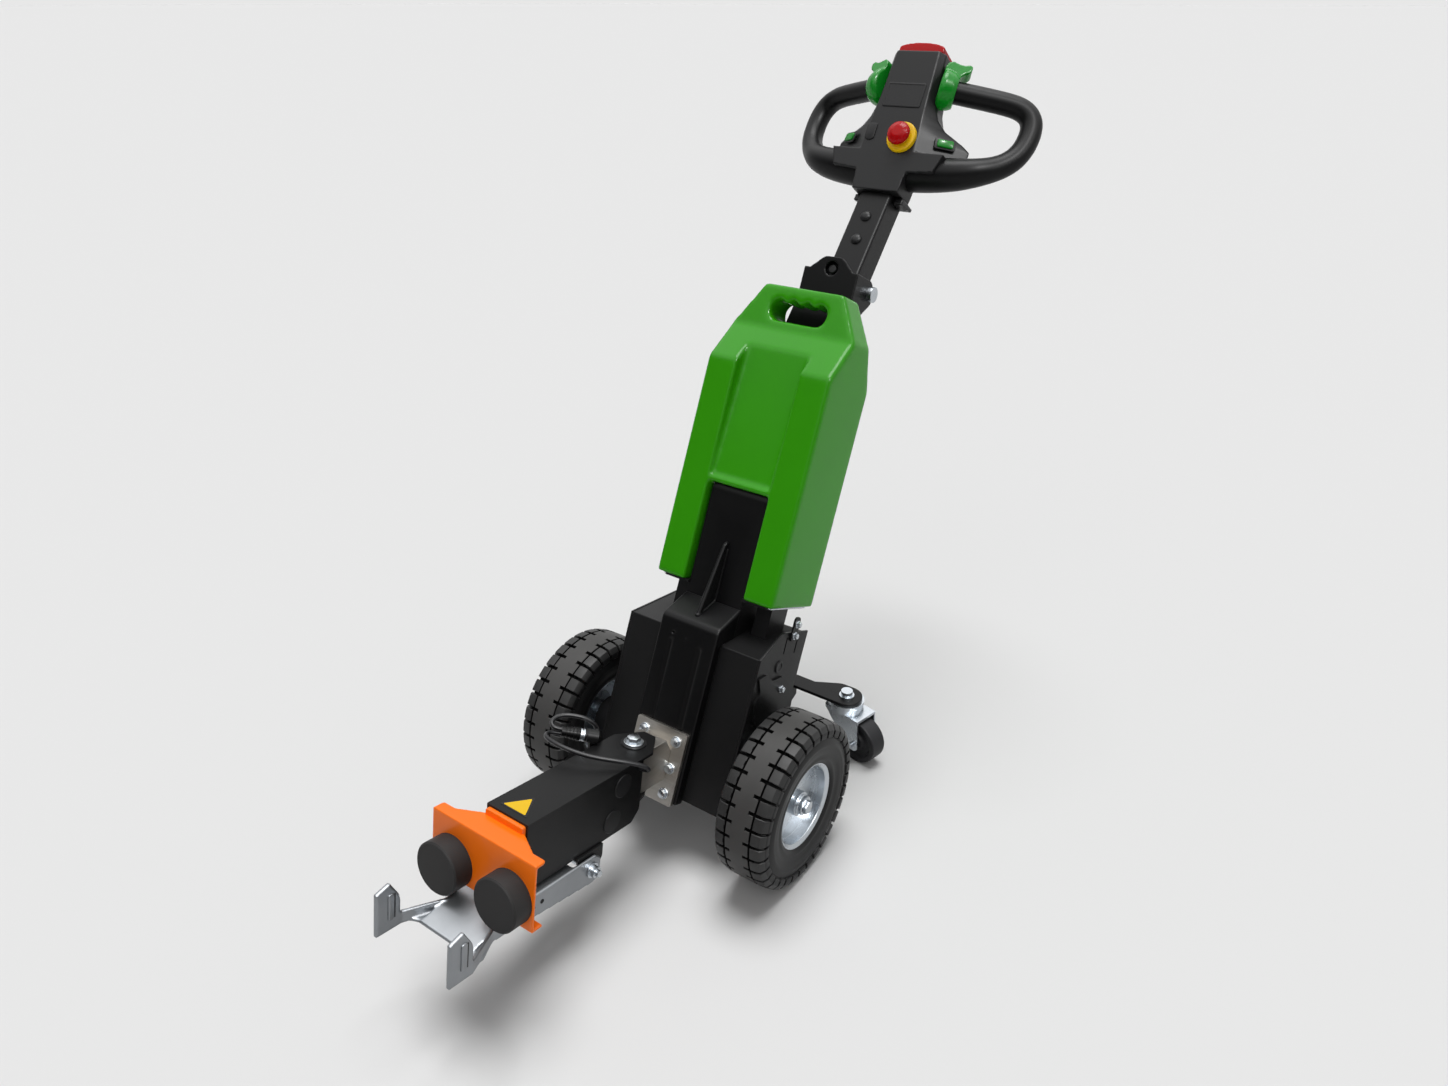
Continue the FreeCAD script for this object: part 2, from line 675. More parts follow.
# --------------------------------------------------------------------------
# Drive: transaxle ends, tyres and rims
# --------------------------------------------------------------------------
wheel_radius = size("wheel_radius")
wheel_middle = size("wheel_track") / 2
rim_half = size("rim_half")
rim_flange = size("rim_flange")
rim_wall = size("rim_wall")
bead_radius = size("bead_radius")
shaft_radius = size("shaft_radius")
housing_side = housing_half + side_sheet


def wheel_place(hand):
    """The wheel's middle; the left wheel is the right one turned about Z."""
    turn = 0 if hand > 0 else 180
    spot = Vector(hand * wheel_middle.value, 0, wheel_radius.value)
    return AXLE * Placement(spot, Rotation(Vector(0, 0, 1), turn))


def make_drive_unit(name, hand):
    body = new_body(name)
    inner = housing_side - wheel_middle
    tip = size("hub_outer") + 9
    shoulder = -(size("hub_inner") + size("seat_gap"))
    nose = shoulder - 8
    sketch = sketch_on(body, "XY")
    trace(sketch, [(inner, 0), (inner, 46), (inner + 8, 46), (inner + 8, 38), (nose, 34),
                   (nose, shaft_radius + 5), (shoulder, shaft_radius + 5), (shoulder, shaft_radius),
                   (tip, shaft_radius), (tip, 0)])
    revolve(body, sketch)
    hand_in(body, wheel_place(hand))


def make_rim(name, hand):
    body = new_body(name)
    dish = size("rim_dish")
    hub = size("hub_radius")
    hub_outer = size("hub_outer")
    bore = shaft_radius + size("running_gap")
    seat = bead_radius - size("seat_gap")
    barrel = seat - rim_wall
    sketch = sketch_on(body, "XY")
    hub_inner = size("hub_inner")
    trace(sketch, [(-hub_inner, bore), (hub_outer, bore), (hub_outer, hub), (dish + rim_wall, hub),
                   (dish + rim_wall, barrel), (rim_half - rim_wall, barrel),
                   (rim_half, rim_flange - 2), (rim_half, rim_flange), (rim_half - rim_wall, rim_flange),
                   (rim_half - rim_wall, seat), (rim_wall - rim_half, seat), (rim_wall - rim_half, rim_flange),
                   (-rim_half, rim_flange), (-rim_half, rim_flange - 2), (rim_wall - rim_half, barrel),
                   (dish, barrel), (dish, hub), (-hub_inner, hub)])
    revolve(body, sketch)
    hand_in(body, wheel_place(hand))


def make_tyre(name, hand):
    body = new_body(name)
    half = size("tyre_width") / 2
    tread = size("tread_half")
    seat_half = rim_half - rim_wall - size("seat_gap")
    over_flange = rim_flange + 1
    sketch = sketch_on(body, "XY")
    right = [(seat_half, bead_radius), (seat_half, over_flange), (rim_half + 1, over_flange + 2),
             (half, wheel_radius - 38), (half, wheel_radius - 14), (tread, wheel_radius - 1.5),
             (tread / 2, wheel_radius)]
    trace(sketch, mirrored(right), {3: 20, 4: 8, 5: 5, 8: 5, 9: 8, 10: 20})
    revolve(body, sketch)
    hand_in(body, wheel_place(hand))


# --------------------------------------------------------------------------
# Caster beam and casters
# --------------------------------------------------------------------------
beam_low = size("beam_low")
beam_sheet = size("beam_sheet")
beam_top = beam_low + beam_sheet
beam_end = size("beam_end")
caster_side = size("caster_side")
caster_behind = size("caster_behind")
caster_trail = size("caster_trail")
caster_radius = size("caster_radius")
caster_width = size("caster_width")
race_radius = size("race_radius")
stud_radius = 6
fork_top = 90
race_low = 98


def rear_face_at(height):
    """How far behind the axle the leaning rear face of the housing lies."""
    lean = size("lean_angle")
    return (housing_back + height * sine(lean)) / cosine(lean)


def make_caster_beam():
    body = new_body("caster_beam")
    rail_half = size("rail_half")
    rail_deep = size("rail_deep")
    sketch = sketch_on(body, "XY", beam_low)
    front = caster_behind - beam_end
    back = caster_behind + beam_end
    tip = caster_side + beam_end
    waist = caster_behind + size("beam_waist")
    trace(sketch, mirrored([(60, waist), (caster_side - 24, back), (tip, back), (tip, front), (rail_half, front)]),
          {1: 30, 2: beam_end - 0.5, 3: beam_end - 0.5, 6: beam_end - 0.5, 7: beam_end - 0.5, 8: 30})
    pad(body, sketch, beam_sheet)
    rail_low = beam_top - rail_deep
    rail = sketch_on(body, "YZ")
    trace(rail, [(rear_face_at(beam_top), beam_top), (front + 12, beam_top), (front + 12, rail_low + 8),
                 (front - 6, rail_low), (rear_face_at(rail_low), rail_low)])
    pad(body, rail, 2 * rail_half, symmetric=True)
    for hand in (-1, 1):
        hole = sketch_on(body, "XY", beam_top + 1)
        trace_circle(hole, hand * caster_side, caster_behind, stud_radius)
        pocket(body, hole, beam_sheet + 2)
    hand_in(body, AXLE)


def caster_place(hand):
    """The swivel axis on the floor, turned so that +X points along the trail."""
    turn = -size("caster_turn").value if hand > 0 else 180 + size("caster_turn").value
    spot = Vector(hand * caster_side.value, caster_behind.value, 0)
    return AXLE * Placement(spot, Rotation(Vector(0, 0, 1), turn))


def make_caster_race(name, hand):
    """Fixed race with the stud that holds the caster to the beam."""
    body = new_body(name)
    sketch = sketch_on(body, "XZ")
    gap = size("seat_gap")
    trace(sketch, [(0, fork_top - 8), (stud_radius, fork_top - 8), (stud_radius, race_low),
                   (race_radius, race_low), (race_radius, beam_low), (stud_radius, beam_low),
                   (stud_radius, beam_top), (13, beam_top), (13, beam_top + 2), (10, beam_top + 2),
                   (10, beam_top + 10), (0, beam_top + 10)])
    feature = revolve(body, sketch)
    feature.ReferenceAxis = (sketch, ["V_Axis"])
    hand_in(body, caster_place(hand))


def make_caster_fork(name, hand):
    body = new_body(name)
    leg_inner = caster_width / 2 + 5
    leg_sheet = 3
    leg_outer = leg_inner + leg_sheet
    plate = sketch_on(body, "XY", fork_top - 5)
    trace(plate, [(-race_radius, -leg_outer), (caster_trail + 8, -leg_outer), (caster_trail + 8, leg_outer),
                  (-race_radius, leg_outer)], {0: 8, 3: 8})
    pad(body, plate, 5)
    ring = sketch_on(body, "XY", fork_top - 1)
    trace_circle(ring, 0, 0, race_radius - 3)
    pad(body, ring, race_low - size("seat_gap") - fork_top + 1)
    for start in (leg_inner, -leg_outer):
        leg = sketch_on(body, "XZ", -as_size(start))
        trace(leg, [(-race_radius + 6, fork_top - 4), (caster_trail - 12, caster_radius - 12),
                    (caster_trail + 12, caster_radius - 12), (caster_trail + 8, fork_top - 4)],
              {1: 9, 2: 9})
        pad(body, leg, leg_sheet, reverse=True)
    bore = sketch_on(body, "XY", race_low + 5)
    trace_circle(bore, 0, 0, stud_radius + size("running_gap"))
    pocket(body, bore, 60)
    axle = sketch_on(body, "XZ", -leg_outer - 6)
    trace_circle(axle, caster_trail, caster_radius, 4)
    pad(body, axle, 2 * leg_outer + 12)
    hand_in(body, caster_place(hand))


def make_caster_wheel(name, hand):
    body = new_body(name)
    half = caster_width / 2
    sketch = sketch_on(body, "XY")
    bore = 4 + size("running_gap")
    trace(sketch, [(-half, bore), (-half, 14), (-half + 5, 18), (-half + 5, caster_radius - 12),
                   (-half, caster_radius - 8), (-half, caster_radius), (half, caster_radius),
                   (half, caster_radius - 8), (half - 5, caster_radius - 12), (half - 5, 18),
                   (half, 14), (half, bore)], {5: 3, 6: 3})
    revolve(body, sketch)
    spin = Placement(Vector(caster_trail.value, 0, caster_radius.value), Rotation(Vector(0, 0, 1), 90))
    hand_in(body, caster_place(hand) * spin)


# --------------------------------------------------------------------------
# Battery cassette
# --------------------------------------------------------------------------
pack_front = size("pack_front")
pack_back = size("pack_back")
pack_half = size("pack_half")
pack_bottom = size("pack_bottom")
seat_sheet = 4


def make_cassette():
    body = new_body("battery_cassette")
    shoulder = size("pack_shoulder")
    brk = size("pack_break")
    top = size("pack_top")
    handle_back = size("pack_handle_back")
    profile = sketch_on(body, "YZ")
    trace(profile, side([(pack_front, pack_bottom), (pack_front, shoulder),
                         (size("pack_break_front"), brk), (size("pack_top_front"), top),
                         (-handle_back, top), (-handle_back, brk), (-pack_back, shoulder),
                         (-pack_back, pack_bottom)]))
    pad(body, profile, 2 * pack_half, symmetric=True)
    for hand in (-1, 1):
        corner = sketch_on(body, "XZ", pack_front + 5)
        trace(corner, [(hand * (pack_half + 1), brk), (hand * pack_half, brk),
                       (hand * size("pack_top_half"), top + 1), (hand * (pack_half + 1), top + 1)])
        pocket(body, corner, 300)
    lip = size("lip_height")
    lip_front = size("lip_front")
    recess_top = size("floor_front")
    recess_end = shoulder + (pack_front - recess_top) * (brk - shoulder) / (pack_front - size("pack_break_front"))
    channel = 2 * size("channel_half")
    recess = sketch_on(body, "YZ")
    trace(recess, side([(pack_front + 5, lip), (lip_front, lip), (recess_top, recess_end),
                        (pack_front + 5, recess_end)]))
    pocket(body, recess, channel, symmetric=True)
    clear = mast_front + size("mast_clearance")
    gap = sketch_on(body, "YZ")
    run_out = pack_back + 10
    start = clear - (lip - mast_crank) * mast_lean()
    trace(gap, side([(pack_front + 5, pack_bottom - 5), (pack_front + 5, lip), (start, lip),
                     (-run_out, lip + (start + run_out) / mast_lean()),
                     (-run_out, pack_bottom - 5)]))
    pocket(body, gap, channel, symmetric=True)
    slot = sketch_on(body, "XZ", pack_front)
    half_long = size("slot_long") / 2
    half_high = size("slot_high") / 2
    middle = size("slot_height")
    corners = mirrored([(half_long, middle - half_high), (half_long, middle + half_high)])
    trace(slot, corners, {index: half_high - 1 for index in range(4)})
    pocket(body, slot, 300)
    hand_in(body, LEAN)


def make_battery_seat():
    """Shelves beside the mast, each on a post, that carry the cassette's legs."""
    body = new_body("battery_seat")
    outer = pack_half - 10
    rear = pack_back - 10
    for hand in (-1, 1):
        shelf = sketch_on(body, "XY", pack_bottom - seat_sheet)
        trace(shelf, [(hand * mast_half, 8 - pack_front), (hand * outer, 8 - pack_front),
                      (hand * outer, rear), (hand * mast_half, rear)], {1: 6, 2: 6})
        pad(body, shelf, seat_sheet)
        post = sketch_on(body, "YZ", 62 if hand > 0 else -88)
        trace(post, side([(50, pack_bottom - seat_sheet), (50, roof_height(50)), (0, roof_height(0)),
                          (0, pack_bottom - seat_sheet)]))
        pad(body, post, 26)
    hand_in(body, LEAN)


# --------------------------------------------------------------------------
# Boom, buffer plate and buffers
# --------------------------------------------------------------------------
boom_half = size("boom_half")
boom_low = size("boom_low")
boom_front = size("boom_front")
boom_rear = size("boom_rear")
bumper_front = boom_front + size("bumper_ahead")


def tongue_outline():
    """Plan of the tongue that reaches back round the pivot."""
    return mirrored([(boom_half, -(boom_rear + 5)), (boom_half, -pivot_front),
                     (size("tongue_half"), -size("tongue_rear"))])


def make_boom():
    body = new_body("boom_housing")
    block = sketch_on(body, "YZ")
    trace(block, side([(boom_rear, boom_low + 16), (boom_rear + 16, boom_low), (boom_front, boom_low),
                       (boom_front, boom_top), (boom_rear, boom_top)]), {0: 8, 1: 8})
    pad(body, block, 2 * boom_half, symmetric=True)
    hollow = sketch_on(body, "YZ")
    trace(hollow, side([(boom_rear - 10, boom_low + sheet_thick), (boom_front - sheet_thick, boom_low + sheet_thick),
                        (boom_front - sheet_thick, boom_top - sheet_thick),
                        (boom_rear - 10, boom_top - sheet_thick)]))
    pocket(body, hollow, 2 * (boom_half - sheet_thick), symmetric=True)
    upper = sketch_on(body, "XY", boom_top - sheet_thick)
    trace(upper, tongue_outline())
    pad(body, upper, sheet_thick)
    shelf_top = size("knuckle_low") - size("seat_gap")
    lower = sketch_on(body, "XY", shelf_top - sheet_thick)
    inner = boom_half - sheet_thick
    trace(lower, mirrored([(inner + 1, -(boom_rear + 70)), (inner + 1, -boom_rear), (inner - 4, -pivot_front),
                           (size("tongue_half"), -(size("tongue_rear") + 8))]))
    pad(body, lower, sheet_thick)
    bore = sketch_on(body, "XY", 60)
    trace_circle(bore, 0, -pivot_front, size("pivot_radius"))
    pocket(body, bore, 200, reverse=True)
    hand_in(body, BOOM)


def make_pivot_bolt():
    body = new_body("pivot_bolt")
    radius = size("pivot_radius")
    low = size("knuckle_low") - size("seat_gap") - sheet_thick
    sketch = sketch_on(body, "XZ")
    trace(sketch, [(0, low - 10), (12, low - 10), (12, low), (radius, low), (radius, boom_top), (20, boom_top),
                   (20, boom_top + 3), (14, boom_top + 3), (14, boom_top + 12), (0, boom_top + 12)])
    feature = revolve(body, sketch)
    feature.ReferenceAxis = (sketch, ["V_Axis"])
    hand_in(body, shifted(BOOM, y=-pivot_front))


def make_bumper():
    body = new_body("bumper_plate")
    half = size("bumper_half")
    low = size("bumper_low")
    top = size("bumper_top")
    flange = size("bumper_flange")
    neck = size("bumper_neck")
    face = sketch_on(body, "XZ", bumper_front)
    trace(face, mirrored([(half, low), (half, top)]))
    pad(body, face, sheet_thick, reverse=True)
    back = bumper_front - flange
    roof = sketch_on(body, "XY", top)
    trace(roof, mirrored([(half, -bumper_front), (half, -back), (half - 22, -back), (neck, -boom_front),
                          ]), {1: 4, 6: 4})
    pad(body, roof, sheet_thick)
    for hand in (-1, 1):
        foot = sketch_on(body, "XY", low)
        trace(foot, [(hand * half, -bumper_front), (hand * half, -back), (hand * size("foot_inner"), -back),
                     (hand * size("foot_inner"), -bumper_front)])
        pad(body, foot, sheet_thick)
    notch = sketch_on(body, "XZ", bumper_front + 1)
    trace(notch, mirrored([(size("hook_half") + 8, low - 5), (size("hook_half") + 8, low + 9)]))
    pocket(body, notch, sheet_thick + 4)
    web = sketch_on(body, "XZ", bumper_front - sheet_thick)
    trace(web, mirrored([(neck - 4, boom_low + 10), (neck - 4, top)]))
    pad(body, web, bumper_front - sheet_thick - boom_front, reverse=True)
    hand_in(body, BOOM)


def make_buffer(name, hand):
    body = new_body(name)
    radius = size("buffer_radius")
    long = size("buffer_long")
    sketch = sketch_on(body, "XY")
    trace(sketch, [(0, 0), (0, radius), (long - 2, radius), (long, radius - 2), (long, 0)])
    revolve(body, sketch)
    spot = Placement(Vector(hand * size("buffer_side").value, -bumper_front.value, size("buffer_height").value),
                     Rotation(Vector(0, 0, 1), -90))
    hand_in(body, BOOM * spot)


# --------------------------------------------------------------------------
# Hook lever
# --------------------------------------------------------------------------
HOOK = shifted(BOOM, y=-size("hook_pivot_front"), z=size("hook_pivot_up"))
hook_half = size("hook_half")
hook_sheet = size("hook_sheet")
lever_top = 20
lever_low_back = -23
bolt_radius = 5


def make_hook_lever():
    body = new_body("hook_lever")
    back = size("hook_back")
    flare = size("hook_flare")
    web_end = size("hook_web_end")
    wide = size("hook_wide")
    thick = size("prong_thick")
    front = size("prong_front")
    deep = size("prong_deep")
    low = size("prong_low")
    inner = hook_half - hook_sheet
    web_start = 34
    web = sketch_on(body, "YZ")
    trace(web, side([(web_start, lever_top - hook_sheet), (web_start, lever_top), (flare - 40, lever_top),
                     (web_end, low + 5), (web_end, low), (flare - 42, lever_top - hook_sheet)]),
          {2: 20, 5: 16})
    pad(body, web, 2 * hook_half, symmetric=True)
    for hand in (-1, 1):
        wall = sketch_on(body, "YZ", hook_half - hook_sheet if hand > 0 else -hook_half)
        trace(wall, side([(-back, lever_low_back + 8), (-back, lever_top - 8), (-back + 10, lever_top),
                          (flare - 33, lever_top), (flare - 22, lever_top - 9), (flare, lever_top - 10),
                          (flare, low), (-back + 12, lever_low_back)]), {0: 6, 7: 8})
        pad(body, wall, hook_sheet)
        wing = sketch_on(body, "XY", low)
        trace(wing, [(hand * hook_half, -flare + 2), (hand * (wide + thick / 2), -(front - deep)),
                     (hand * (wide + thick / 2), -front), (hand * (wide - thick / 2), -front),
                     (hand * (wide - thick / 2), -(front - deep - 2)), (hand * inner, -flare + 4)])
        pad(body, wing, lever_top - 10 - low)
        prong = sketch_on(body, "YZ", wide - thick / 2 if hand > 0 else -(wide + thick / 2))
        tip = size("prong_top")
        trace(prong, side([(front, low), (front, tip - 7), (front - 21, tip), (front - deep + 2, tip - 22),
                           (front - deep, tip - 32), (front - deep, low)]), {3: 14})
        pad(body, prong, thick)
    bore = sketch_on(body, "YZ")
    trace_circle(bore, 0, 0, bolt_radius + size("running_gap"))
    pocket(body, bore, 2 * hook_half + 2, symmetric=True)
    floor = sketch_on(body, "XY", low)
    reach = wide - thick / 2 - 1
    trace(floor, mirrored([(inner, -flare + 10), (reach, -(web_end - 8)), (reach, -(web_end + 6)),
                           (reach - 12, -web_end)]))
    pad(body, floor, 5)
    hand_in(body, HOOK)


def make_lever_ears():
    """Cross plate with two ears, welded under the boom, inside the lever's walls."""
    body = new_body("lever_ears")
    outer = hook_half - hook_sheet - size("seat_gap")
    inner = outer - hook_sheet
    above = boom_low - size("hook_pivot_up")
    top = sketch_on(body, "YZ")
    trace(top, side([(-20, above - 4), (-20, above), (26, above), (26, above - 4)]))
    pad(body, top, 2 * outer, symmetric=True)
    for hand in (-1, 1):
        ear = sketch_on(body, "YZ", inner if hand > 0 else -outer)
        trace(ear, side([(-27, above), (-27, 6), (-12, -13), (10, -13), (16, 2), (26, above - 2), (26, above)]),
              {1: 14, 2: 10, 3: 10, 4: 10})
        pad(body, ear, hook_sheet)
    bore = sketch_on(body, "YZ")
    trace_circle(bore, 0, 0, bolt_radius)
    pocket(body, bore, 2 * outer + 2, symmetric=True)
    hand_in(body, HOOK)


def make_hook_bolt():
    body = new_body("hook_bolt")
    outer = hook_half + size("seat_gap")
    sketch = sketch_on(body, "XY")
    trace(sketch, [(-outer - 6, 0), (-outer - 6, 8), (-outer, 8), (-outer, bolt_radius),
                   (outer, bolt_radius), (outer, 11), (outer + 2, 11), (outer + 2, 8), (outer + 9, 8),
                   (outer + 9, bolt_radius), (outer + 14, bolt_radius), (outer + 14, 0)])
    revolve(body, sketch)
    hand_in(body, HOOK)


# --------------------------------------------------------------------------
# Lead beside the boom: plug on a bracket, boot, and two strands
# --------------------------------------------------------------------------
lead_radius = size("lead_radius")
PLUG_ROOT = Vector(-38, -194, 202)
PLUG_WAY = Vector(-33, -33, 8)
PLUG = BOOM * Placement(PLUG_ROOT, Rotation(Vector(1, 0, 0), PLUG_WAY))
boot_start = size("plug_long") + size("nut_long")
boot_end = boot_start + size("boot_long")


def make_plug():
    """Plug body with its nut, on a bracket that stands on the boom's left wall."""
    bracket = new_body("plug_bracket")
    plate = sketch_on(bracket, "YZ", -(boom_half + sheet_thick))
    trace(plate, side([(181, 168), (181, 200), (188, 213), (202, 213), (209, 200), (209, 168)]),
          {0: 4, 2: 6, 3: 6, 5: 4})
    pad(bracket, plate, sheet_thick)
    bracket.Placement = BOOM
    barrel = new_body("plug_barrel")
    radius = size("plug_radius")
    profile = sketch_on(barrel, "XY")
    nut = size("plug_long")
    trace(profile, [(0, 0), (0, radius), (nut, radius), (nut, size("nut_radius")),
                    (boot_start, size("nut_radius")), (boot_start, 0)])
    revolve(barrel, profile)
    barrel.Placement = PLUG
    plug = doc.addObject("Part::Fuse", "lead_plug")
    plug.Base = bracket
    plug.Tool = barrel
    hand_in(plug)


def make_boot():
    """Ribbed rubber boot that both strands come out of."""
    body = new_body("lead_boot")
    profile = sketch_on(body, "XY")
    tip = size("boot_tip")
    root = size("plug_radius") - 0.5
    ribs = 4
    pitch = (size("boot_long") - 6) / ribs
    corners = [(boot_start, 0), (boot_start, root)]
    for rib in range(ribs):
        start = boot_start + 4 + rib * pitch
        radius = root - (root - tip) * rib / ribs
        corners += [(start, radius), (start, radius - 1.4), (start + pitch * 0.35, radius - 1.4),
                    (start + pitch * 0.35, radius - 0.4)]
    corners += [(boot_end, tip), (boot_end, 0)]
    trace(profile, corners)
    revolve(body, profile)
    hand_in(body, PLUG)


def lead_path(name, spots):
    """One wire of straight runs joined by arcs as large as the runs allow."""
    edges = []
    radii = []
    begin = spots[0]
    for before, corner, after in zip(spots, spots[1:], spots[2:]):
        to_before = (before - corner).normalize()
        to_after = (after - corner).normalize()
        half_angle = to_before.getAngle(to_after) / 2
        reach = 0.45 * min((before - corner).Length, (after - corner).Length)
        radius = reach * math.tan(half_angle)
        centre = corner + (to_before + to_after).normalize() * (radius / math.sin(half_angle))
        first = corner + to_before * reach
        last = corner + to_after * reach
        middle = centre + (corner - centre).normalize() * radius
        edges.append(Part.LineSegment(begin, first).toShape())
        edges.append(Part.Arc(first, middle, last).toShape())
        begin = last
        radii.append(radius)
    edges.append(Part.LineSegment(begin, spots[-1]).toShape())
    path = doc.addObject("Part::Feature", f"{name}_path")
    path.Shape = Part.Wire(edges)
    print(f"{name} length {path.Shape.Length:.1f}  radii " + " ".join(f"{radius:.1f}" for radius in radii))
    return path


def make_lead(name, lift, route):
    """Round lead out of the boot, then along (x, front, up) points in the boom's frame."""
    end = boot_end.value
    spots = [PLUG.multVec(Vector(end + far, 0, lift)) for far in (0, 12)]
    spots += [BOOM.multVec(Vector(x, -front, up)) for x, front, up in route]
    path = lead_path(name, spots)
    ring = doc.addObject("Part::Circle", f"{name}_ring")
    bind(ring, "Radius", lead_radius)
    ring.Placement = Placement(spots[0], Rotation(Vector(0, 0, 1), spots[1] - spots[0]))
    lead = doc.addObject("Part::Sweep", name)
    lead.Sections = [ring]
    lead.Spine = (path, [f"Edge{number}" for number in range(1, len(path.Shape.Edges) + 1)])
    lead.Solid = True
    doc.recompute()
    expected = math.pi * lead_radius.value ** 2 * path.Shape.Length
    if abs(lead.Shape.Volume / expected - 1) > 0.02:
        raise RuntimeError(f"{name} has the wrong volume")
    hand_in(lead)


FRONT_STRAND = (
    (-86, 251, 211.5), (-80, 259.5, 212.8), (-69, 264, 213.5), (-52, 265, 213), (-32, 261.5, 211),
    (-11, 252.5, 208), (8, 240, 205.5), (25, 226.5, 203.5), (40, 213, 200.5), (50, 200.5, 196),
    (54.5, 192.5, 190), (52.5, 187.5, 184), (45.5, 186.5, 180.5), (boom_half.value, 186.5, 180))
REAR_STRAND = (
    (-92, 236.5, 221), (-94, 226, 224.5), (-88.5, 214, 226), (-76, 203.5, 225.5), (-63, 194, 222.5),
    (-54, 186.5, 215.5), (-51, 182, 206), (-51.5, 181, 196.5), (-51.5, 184, 188.5), (-48, 188, 184),
    (-(boom_half + sheet_thick).value, 188.5, 183.5))


# --------------------------------------------------------------------------
# Top bracket, column and tiller head
# --------------------------------------------------------------------------
mast_top_front = mast_front - mast_set_back
bracket_half = size("bracket_half")
tilt_back = size("tilt_setback") - mast_top_front
tilt_height = mast_top + size("tilt_rise")
TILT = shifted(LEAN, y=tilt_back, z=tilt_height) * Placement(
    Vector(), Rotation(Vector(1, 0, 0), size("lean_angle").value - size("column_angle").value))
column_front = size("column_front")
column_above = size("column_above")
column_half = size("column_half")
head_offset = size("head_offset")
HEAD = shifted(TILT, y=-(column_front + head_offset), z=column_above) * Placement(
    Vector(), Rotation(Vector(1, 0, 0), size("column_angle").value - size("head_angle").value))
head_deep = size("head_deep")
grip_radius = size("grip_radius")


def make_top_bracket():
    """Folded bracket on the mast, open to the rear, that carries the tilt bolt."""
    body = new_body("top_bracket")
    shoulders = tilt_height + size("bracket_rise")
    rear = tilt_back + size("bracket_round")
    outline = sketch_on(body, "YZ")
    trace(outline, side([(mast_top_front, mast_top), (mast_top_front, shoulders), (-tilt_back, shoulders),
                         (-rear, tilt_height + 8), (-rear, tilt_height - 14), (16 - tilt_back, mast_top)]),
          {2: 20, 3: 10, 4: 10})
    pad(body, outline, 2 * bracket_half, symmetric=True)
    hollow = sketch_on(body, "YZ")
    inner = mast_top_front - sheet_thick
    trace(hollow, side([(inner, mast_top - 1), (inner, shoulders + 10), (-rear - 10, shoulders + 10),
                        (-rear - 10, mast_top - 1)]))
    pocket(body, hollow, 2 * (bracket_half - sheet_thick), symmetric=True)
    hump = sketch_on(body, "XZ", mast_top_front)
    trace(hump, mirrored([(38, shoulders - 5), (38, shoulders), (16, shoulders + 20)]), {2: 14, 3: 14})
    pad(body, hump, sheet_thick, reverse=True)
    hole = sketch_on(body, "XZ", mast_top_front + 1)
    trace_circle(hole, 0, shoulders + 2, size("plunger_radius"))
    pocket(body, hole, sheet_thick + 2)
    bore = sketch_on(body, "YZ")
    trace_circle(bore, tilt_back, tilt_height, size("tilt_radius"))
    pocket(body, bore, 2 * bracket_half + 2, symmetric=True)
    hand_in(body, LEAN)


def make_bracket_plunger():
    """Spring plunger that sits in the front of the bracket and locks the column."""
    body = new_body("bracket_plunger")
    radius = size("plunger_radius")
    sketch = sketch_on(body, "XY")
    seat = sheet_thick
    trace(sketch, [(0, 1), (radius - 5, 1), (radius - 5, seat), (radius + 4, seat), (radius + 4, seat + 3),
                   (radius, seat + 3), (radius, seat + 9), (0, seat + 9)][::-1])
    feature = revolve(body, sketch)
    feature.ReferenceAxis = (sketch, ["V_Axis"])
    hand_in(body, shifted(LEAN, y=-mast_top_front, z=tilt_height + size("bracket_rise") + 2))


def make_tilt_bolt():
    body = new_body("tilt_bolt")
    radius = size("tilt_radius")
    sketch = sketch_on(body, "XY")
    trace(sketch, [(-bracket_half - 8, 0), (-bracket_half - 8, 12), (-bracket_half, 12), (-bracket_half, radius),
                   (bracket_half, radius), (bracket_half, 12), (bracket_half + 9, 12), (bracket_half + 9, 0)])
    revolve(body, sketch)
    hand_in(body, TILT)


def make_column():
    body = new_body("column")
    deep = size("column_deep")
    wall = size("column_wall")
    below = size("column_below")
    tilt = tangent(size("column_angle") - size("head_angle"))
    back = deep - column_front
    tube = sketch_on(body, "YZ")
    trace(tube, side([(column_front, -below), (column_front, column_above + head_offset * tilt),
                      (-back, column_above + (head_offset + deep) * tilt), (-back, -below)]))
    pad(body, tube, 2 * column_half, symmetric=True)
    round_edges(body, 5, along((0, 0, 1)))
    inside = sketch_on(body, "XY", -below - 1)
    trace(inside, mirrored([(column_half - wall, wall - column_front), (column_half - wall, back - wall)]),
          {index: 2 for index in range(4)})
    pocket(body, inside, below + column_above + 60, reverse=True)
    sleeve = sketch_on(body, "YZ")
    trace_circle(sleeve, 0, 0, size("tilt_radius") + 6)
    pad(body, sleeve, 2 * (bracket_half - sheet_thick - size("seat_gap")), symmetric=True)
    bore = sketch_on(body, "YZ")
    trace_circle(bore, 0, 0, size("tilt_radius") + size("running_gap"))
    pocket(body, bore, 2 * mast_half, symmetric=True)
    hand_in(body, TILT)


def head_section(body, height, side_half, crease_half, extra):
    """Cross-section of the head above its arms: flat front, swept-back sides."""
    fall = (side_half - crease_half) * tangent(size("shoulder_slope")) + extra
    section = sketch_on(body, "XY", height)
    trace(section, mirrored([(side_half, head_deep), (side_half, fall), (crease_half, 0)]))
    return section


